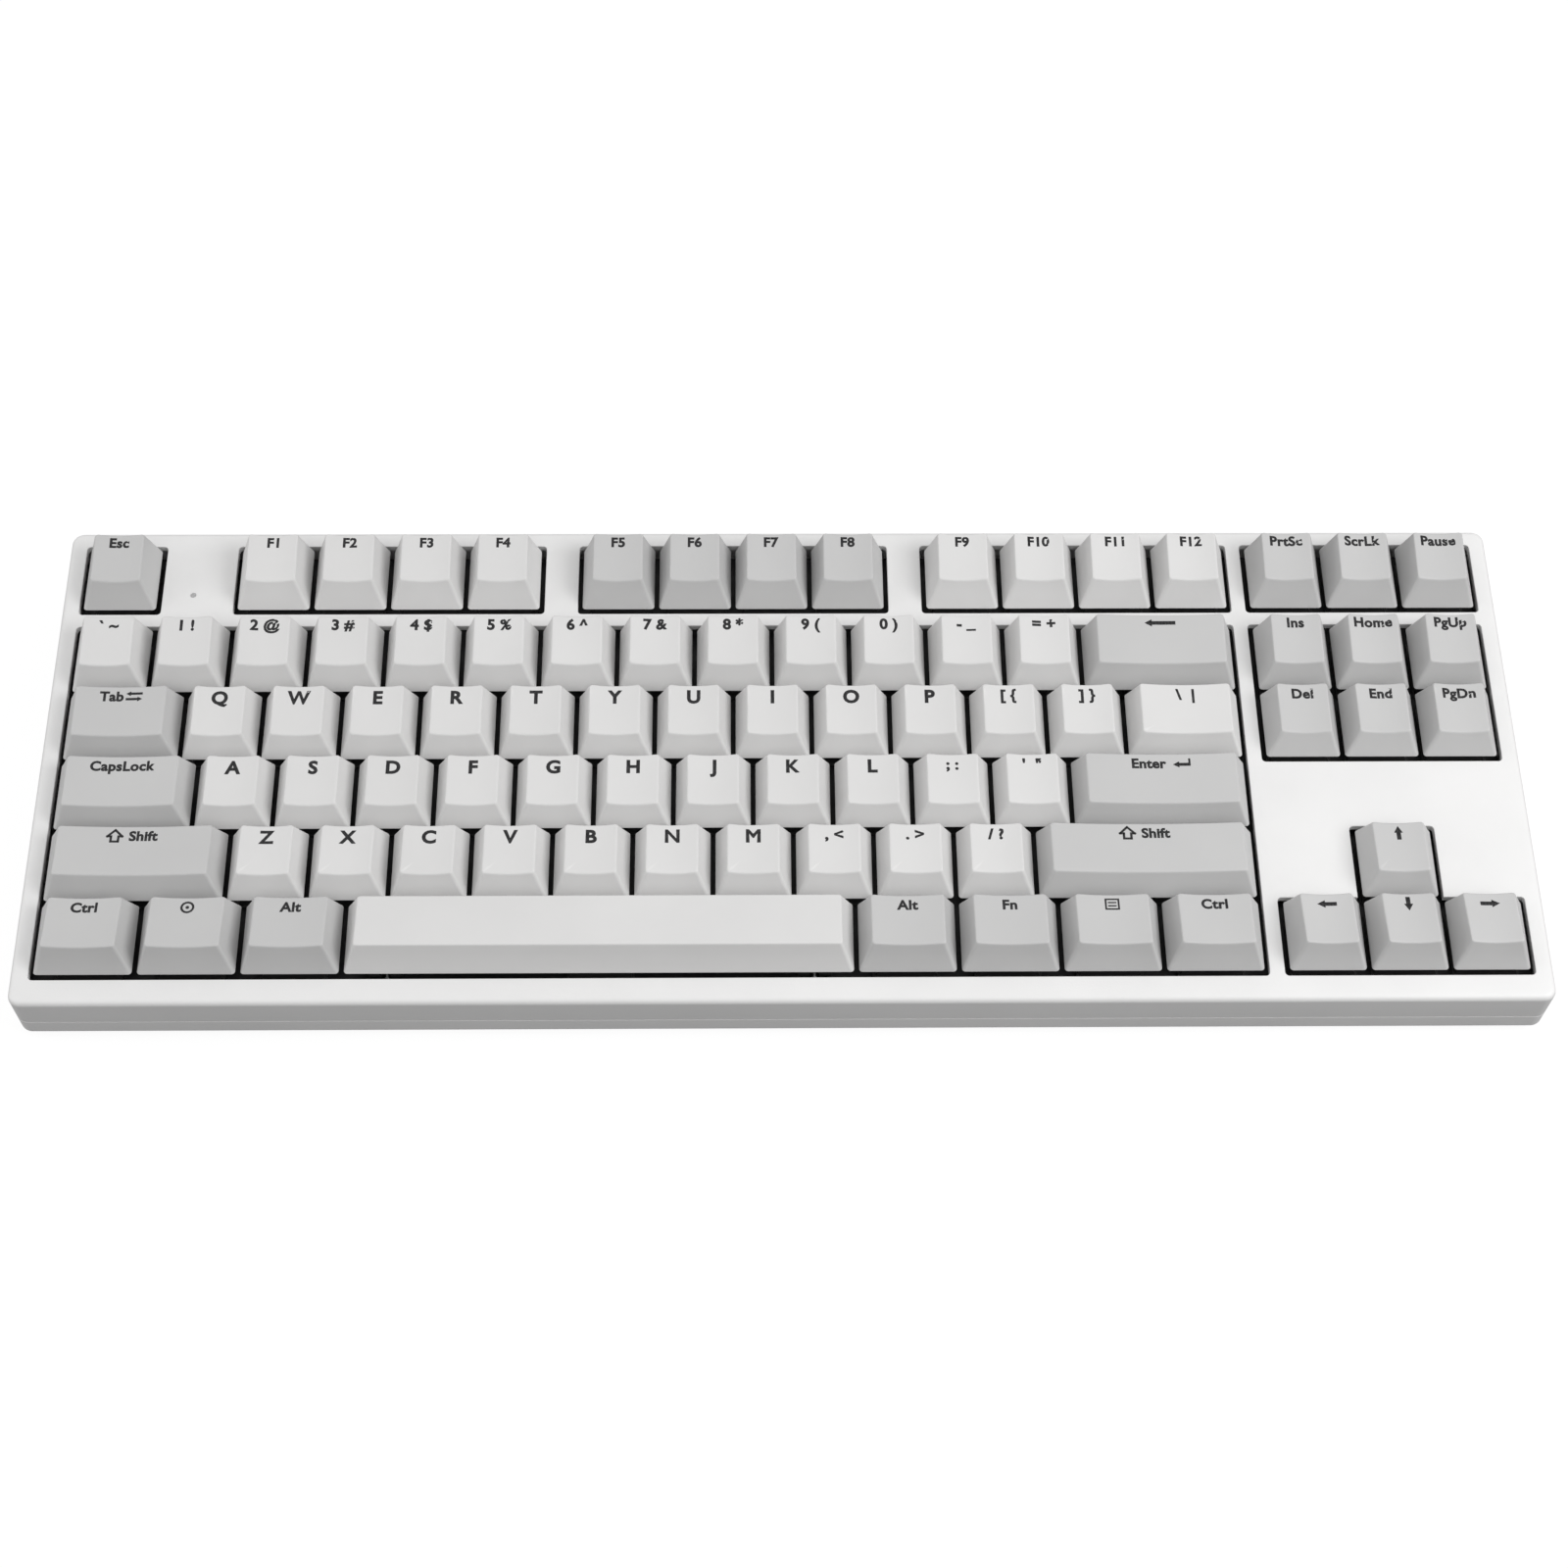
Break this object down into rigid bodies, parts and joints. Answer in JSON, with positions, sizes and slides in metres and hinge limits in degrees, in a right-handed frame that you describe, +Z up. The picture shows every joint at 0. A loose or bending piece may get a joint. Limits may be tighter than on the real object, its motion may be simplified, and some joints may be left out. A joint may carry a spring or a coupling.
{
  "type": "mechanical keyboard",
  "caption": "Wired tenkeyless mechanical keyboard: white two-shell case, sculpted white and grey keycaps on spring-loaded switches, flip-out feet.",
  "frame": {"origin": "on the table, under the middle of the case's footprint", "axes": "+X to the right of the typist, +Y to the back, away from the typist, +Z up"},
  "size_m": [0.3574, 0.1332, 0.0405],
  "materials": {
    "case_white": "fine-grained white ABS",
    "key_white": "fine-grained white PBT",
    "key_grey": "fine-grained light grey PBT",
    "legend": "black ink",
    "stem": "dark grey POM",
    "plate_steel": "black powder coat",
    "board": "green solder mask",
    "housing_black": "black nylon",
    "spring_steel": "drawn wire",
    "socket_metal": "stamped shell",
    "screw_steel": "zinc-plated",
    "foot_rubber": "matte rubber",
    "lens": "clear light guide",
    "chip": "epoxy package"
  },
  "bodies": {
    "case": {"top_case": "case_white", "bottom_case": "case_white", "switch_plate": "plate_steel", "circuit_board": "board", "switch_lower_housings": "housing_black", "switch_upper_housings": "housing_black", "switch_springs": "spring_steel", "stabilizer_housings": "housing_black", "usb_socket": "socket_metal", "case_screws": "screw_steel", "rubber_feet": "foot_rubber", "indicator_lens": "lens", "controller_chip": "chip"},
    "flip_foot_left": {"flip_foot_left": "case_white"},
    "flip_foot_right": {"flip_foot_right": "case_white"},
    "key_space": {"key_space": "key_white"},
    "space_stabilizer_wire": {"space_stabilizer_wire": "spring_steel"},
    "key_left_shift": {"key_left_shift": "key_grey"},
    "left_shift_stabilizer_wire": {"left_shift_stabilizer_wire": "spring_steel"},
    "key_right_shift": {"key_right_shift": "key_grey"},
    "right_shift_stabilizer_wire": {"right_shift_stabilizer_wire": "spring_steel"},
    "key_enter": {"key_enter": "key_grey"},
    "enter_stabilizer_wire": {"enter_stabilizer_wire": "spring_steel"},
    "key_backspace": {"key_backspace": "key_grey"},
    "backspace_stabilizer_wire": {"backspace_stabilizer_wire": "spring_steel"},
    "number_row_keys": {"number_row_keys": "key_white"},
    "function_row_keys": {"function_row_keys": "key_white"},
    "punctuation_keys": {"punctuation_keys": "key_white"},
    "modifier_keys": {"modifier_keys": "key_grey"},
    "navigation_keys": {"navigation_keys": "key_grey"},
    "key_up": {"key_up": "key_grey"},
    "key_down": {"key_down": "key_grey"},
    "key_left": {"key_left": "key_grey"},
    "key_right": {"key_right": "key_grey"},
    "key_q": {"key_q": "key_white"},
    "key_w": {"key_w": "key_white"},
    "key_e": {"key_e": "key_white"},
    "key_r": {"key_r": "key_white"},
    "key_t": {"key_t": "key_white"},
    "key_y": {"key_y": "key_white"},
    "key_u": {"key_u": "key_white"},
    "key_i": {"key_i": "key_white"},
    "key_o": {"key_o": "key_white"},
    "key_p": {"key_p": "key_white"},
    "key_a": {"key_a": "key_white"},
    "key_s": {"key_s": "key_white"},
    "key_d": {"key_d": "key_white"},
    "key_f": {"key_f": "key_white"},
    "key_g": {"key_g": "key_white"},
    "key_h": {"key_h": "key_white"},
    "key_j": {"key_j": "key_white"},
    "key_k": {"key_k": "key_white"},
    "key_l": {"key_l": "key_white"},
    "key_z": {"key_z": "key_white"},
    "key_x": {"key_x": "key_white"},
    "key_c": {"key_c": "key_white"},
    "key_v": {"key_v": "key_white"},
    "key_b": {"key_b": "key_white"},
    "key_n": {"key_n": "key_white"},
    "key_m": {"key_m": "key_white"}
  },
  "joints": [
    {"name": "flip_foot_left_hinge", "type": "hinge", "parent": "case", "child": "flip_foot_left", "pos_m": [-0.12, 0.052, 0.0047], "axis": [1, 0, 0], "range_deg": [0, 95]},
    {"name": "flip_foot_right_hinge", "type": "hinge", "parent": "case", "child": "flip_foot_right", "pos_m": [0.12, 0.052, 0.0047], "axis": [1, 0, 0], "range_deg": [0, 95]},
    {"name": "space_press", "type": "slide", "parent": "case", "child": "key_space", "axis": [0, 0.1132, -0.9936], "range_m": [0, 0.004], "stiffness_N_per_m": 75, "springref_m": -0.004, "deforming": ["switch_springs"]},
    {"name": "space_stabilizer_wire_turn", "type": "hinge", "parent": "case", "child": "space_stabilizer_wire", "pos_m": [-0.04286, -0.05771, 0.00891], "axis": [-1, 0, 0], "range_deg": [0, 28]},
    {"name": "left_shift_press", "type": "slide", "parent": "case", "child": "key_left_shift", "axis": [0, 0.1132, -0.9936], "range_m": [0, 0.004], "stiffness_N_per_m": 75, "springref_m": -0.004},
    {"name": "left_shift_stabilizer_wire_turn", "type": "hinge", "parent": "case", "child": "left_shift_stabilizer_wire", "pos_m": [-0.1524, -0.03878, 0.01107], "axis": [-1, 0, 0], "range_deg": [0, 28]},
    {"name": "right_shift_press", "type": "slide", "parent": "case", "child": "key_right_shift", "axis": [0, 0.1132, -0.9936], "range_m": [0, 0.004], "stiffness_N_per_m": 75, "springref_m": -0.004},
    {"name": "right_shift_stabilizer_wire_turn", "type": "hinge", "parent": "case", "child": "right_shift_stabilizer_wire", "pos_m": [0.08572, -0.03878, 0.01107], "axis": [-1, 0, 0], "range_deg": [0, 28]},
    {"name": "enter_press", "type": "slide", "parent": "case", "child": "key_enter", "axis": [0, 0.1132, -0.9936], "range_m": [0, 0.004], "stiffness_N_per_m": 75, "springref_m": -0.004},
    {"name": "enter_stabilizer_wire_turn", "type": "hinge", "parent": "case", "child": "enter_stabilizer_wire", "pos_m": [0.09049, -0.01986, 0.01322], "axis": [-1, 0, 0], "range_deg": [0, 28]},
    {"name": "backspace_press", "type": "slide", "parent": "case", "child": "key_backspace", "axis": [0, 0.1132, -0.9936], "range_m": [0, 0.004], "stiffness_N_per_m": 75, "springref_m": -0.004},
    {"name": "backspace_stabilizer_wire_turn", "type": "hinge", "parent": "case", "child": "backspace_stabilizer_wire", "pos_m": [0.09287, 0.018, 0.01754], "axis": [-1, 0, 0], "range_deg": [0, 28]},
    {"name": "number_row_keys_press", "type": "slide", "parent": "case", "child": "number_row_keys", "axis": [0, 0.1132, -0.9936], "range_m": [0, 0.004], "stiffness_N_per_m": 975, "springref_m": -0.004},
    {"name": "function_row_keys_press", "type": "slide", "parent": "case", "child": "function_row_keys", "axis": [0, 0.1132, -0.9936], "range_m": [0, 0.004], "stiffness_N_per_m": 1200, "springref_m": -0.004},
    {"name": "punctuation_keys_press", "type": "slide", "parent": "case", "child": "punctuation_keys", "axis": [0, 0.1132, -0.9936], "range_m": [0, 0.004], "stiffness_N_per_m": 600, "springref_m": -0.004},
    {"name": "modifier_keys_press", "type": "slide", "parent": "case", "child": "modifier_keys", "axis": [0, 0.1132, -0.9936], "range_m": [0, 0.004], "stiffness_N_per_m": 675, "springref_m": -0.004},
    {"name": "navigation_keys_press", "type": "slide", "parent": "case", "child": "navigation_keys", "axis": [0, 0.1132, -0.9936], "range_m": [0, 0.004], "stiffness_N_per_m": 450, "springref_m": -0.004},
    {"name": "up_press", "type": "slide", "parent": "case", "child": "key_up", "axis": [0, 0.1132, -0.9936], "range_m": [0, 0.004], "stiffness_N_per_m": 75, "springref_m": -0.004},
    {"name": "down_press", "type": "slide", "parent": "case", "child": "key_down", "axis": [0, 0.1132, -0.9936], "range_m": [0, 0.004], "stiffness_N_per_m": 75, "springref_m": -0.004},
    {"name": "left_press", "type": "slide", "parent": "case", "child": "key_left", "axis": [0, 0.1132, -0.9936], "range_m": [0, 0.004], "stiffness_N_per_m": 75, "springref_m": -0.004},
    {"name": "right_press", "type": "slide", "parent": "case", "child": "key_right", "axis": [0, 0.1132, -0.9936], "range_m": [0, 0.004], "stiffness_N_per_m": 75, "springref_m": -0.004},
    {"name": "q_press", "type": "slide", "parent": "case", "child": "key_q", "axis": [0, 0.1132, -0.9936], "range_m": [0, 0.004], "stiffness_N_per_m": 75, "springref_m": -0.004},
    {"name": "w_press", "type": "slide", "parent": "case", "child": "key_w", "axis": [0, 0.1132, -0.9936], "range_m": [0, 0.004], "stiffness_N_per_m": 75, "springref_m": -0.004},
    {"name": "e_press", "type": "slide", "parent": "case", "child": "key_e", "axis": [0, 0.1132, -0.9936], "range_m": [0, 0.004], "stiffness_N_per_m": 75, "springref_m": -0.004},
    {"name": "r_press", "type": "slide", "parent": "case", "child": "key_r", "axis": [0, 0.1132, -0.9936], "range_m": [0, 0.004], "stiffness_N_per_m": 75, "springref_m": -0.004},
    {"name": "t_press", "type": "slide", "parent": "case", "child": "key_t", "axis": [0, 0.1132, -0.9936], "range_m": [0, 0.004], "stiffness_N_per_m": 75, "springref_m": -0.004},
    {"name": "y_press", "type": "slide", "parent": "case", "child": "key_y", "axis": [0, 0.1132, -0.9936], "range_m": [0, 0.004], "stiffness_N_per_m": 75, "springref_m": -0.004},
    {"name": "u_press", "type": "slide", "parent": "case", "child": "key_u", "axis": [0, 0.1132, -0.9936], "range_m": [0, 0.004], "stiffness_N_per_m": 75, "springref_m": -0.004},
    {"name": "i_press", "type": "slide", "parent": "case", "child": "key_i", "axis": [0, 0.1132, -0.9936], "range_m": [0, 0.004], "stiffness_N_per_m": 75, "springref_m": -0.004},
    {"name": "o_press", "type": "slide", "parent": "case", "child": "key_o", "axis": [0, 0.1132, -0.9936], "range_m": [0, 0.004], "stiffness_N_per_m": 75, "springref_m": -0.004},
    {"name": "p_press", "type": "slide", "parent": "case", "child": "key_p", "axis": [0, 0.1132, -0.9936], "range_m": [0, 0.004], "stiffness_N_per_m": 75, "springref_m": -0.004},
    {"name": "a_press", "type": "slide", "parent": "case", "child": "key_a", "axis": [0, 0.1132, -0.9936], "range_m": [0, 0.004], "stiffness_N_per_m": 75, "springref_m": -0.004},
    {"name": "s_press", "type": "slide", "parent": "case", "child": "key_s", "axis": [0, 0.1132, -0.9936], "range_m": [0, 0.004], "stiffness_N_per_m": 75, "springref_m": -0.004},
    {"name": "d_press", "type": "slide", "parent": "case", "child": "key_d", "axis": [0, 0.1132, -0.9936], "range_m": [0, 0.004], "stiffness_N_per_m": 75, "springref_m": -0.004},
    {"name": "f_press", "type": "slide", "parent": "case", "child": "key_f", "axis": [0, 0.1132, -0.9936], "range_m": [0, 0.004], "stiffness_N_per_m": 75, "springref_m": -0.004},
    {"name": "g_press", "type": "slide", "parent": "case", "child": "key_g", "axis": [0, 0.1132, -0.9936], "range_m": [0, 0.004], "stiffness_N_per_m": 75, "springref_m": -0.004},
    {"name": "h_press", "type": "slide", "parent": "case", "child": "key_h", "axis": [0, 0.1132, -0.9936], "range_m": [0, 0.004], "stiffness_N_per_m": 75, "springref_m": -0.004},
    {"name": "j_press", "type": "slide", "parent": "case", "child": "key_j", "axis": [0, 0.1132, -0.9936], "range_m": [0, 0.004], "stiffness_N_per_m": 75, "springref_m": -0.004},
    {"name": "k_press", "type": "slide", "parent": "case", "child": "key_k", "axis": [0, 0.1132, -0.9936], "range_m": [0, 0.004], "stiffness_N_per_m": 75, "springref_m": -0.004},
    {"name": "l_press", "type": "slide", "parent": "case", "child": "key_l", "axis": [0, 0.1132, -0.9936], "range_m": [0, 0.004], "stiffness_N_per_m": 75, "springref_m": -0.004},
    {"name": "z_press", "type": "slide", "parent": "case", "child": "key_z", "axis": [0, 0.1132, -0.9936], "range_m": [0, 0.004], "stiffness_N_per_m": 75, "springref_m": -0.004},
    {"name": "x_press", "type": "slide", "parent": "case", "child": "key_x", "axis": [0, 0.1132, -0.9936], "range_m": [0, 0.004], "stiffness_N_per_m": 75, "springref_m": -0.004},
    {"name": "c_press", "type": "slide", "parent": "case", "child": "key_c", "axis": [0, 0.1132, -0.9936], "range_m": [0, 0.004], "stiffness_N_per_m": 75, "springref_m": -0.004},
    {"name": "v_press", "type": "slide", "parent": "case", "child": "key_v", "axis": [0, 0.1132, -0.9936], "range_m": [0, 0.004], "stiffness_N_per_m": 75, "springref_m": -0.004},
    {"name": "b_press", "type": "slide", "parent": "case", "child": "key_b", "axis": [0, 0.1132, -0.9936], "range_m": [0, 0.004], "stiffness_N_per_m": 75, "springref_m": -0.004},
    {"name": "n_press", "type": "slide", "parent": "case", "child": "key_n", "axis": [0, 0.1132, -0.9936], "range_m": [0, 0.004], "stiffness_N_per_m": 75, "springref_m": -0.004},
    {"name": "m_press", "type": "slide", "parent": "case", "child": "key_m", "axis": [0, 0.1132, -0.9936], "range_m": [0, 0.004], "stiffness_N_per_m": 75, "springref_m": -0.004}
  ],
  "couplings": [
    {"joint": "space_stabilizer_wire_turn", "follows": "space_press", "rad_per_m": 119.99},
    {"joint": "left_shift_stabilizer_wire_turn", "follows": "left_shift_press", "rad_per_m": 119.99},
    {"joint": "right_shift_stabilizer_wire_turn", "follows": "right_shift_press", "rad_per_m": 119.99},
    {"joint": "enter_stabilizer_wire_turn", "follows": "enter_press", "rad_per_m": 119.99},
    {"joint": "backspace_stabilizer_wire_turn", "follows": "backspace_press", "rad_per_m": 119.99}
  ]
}
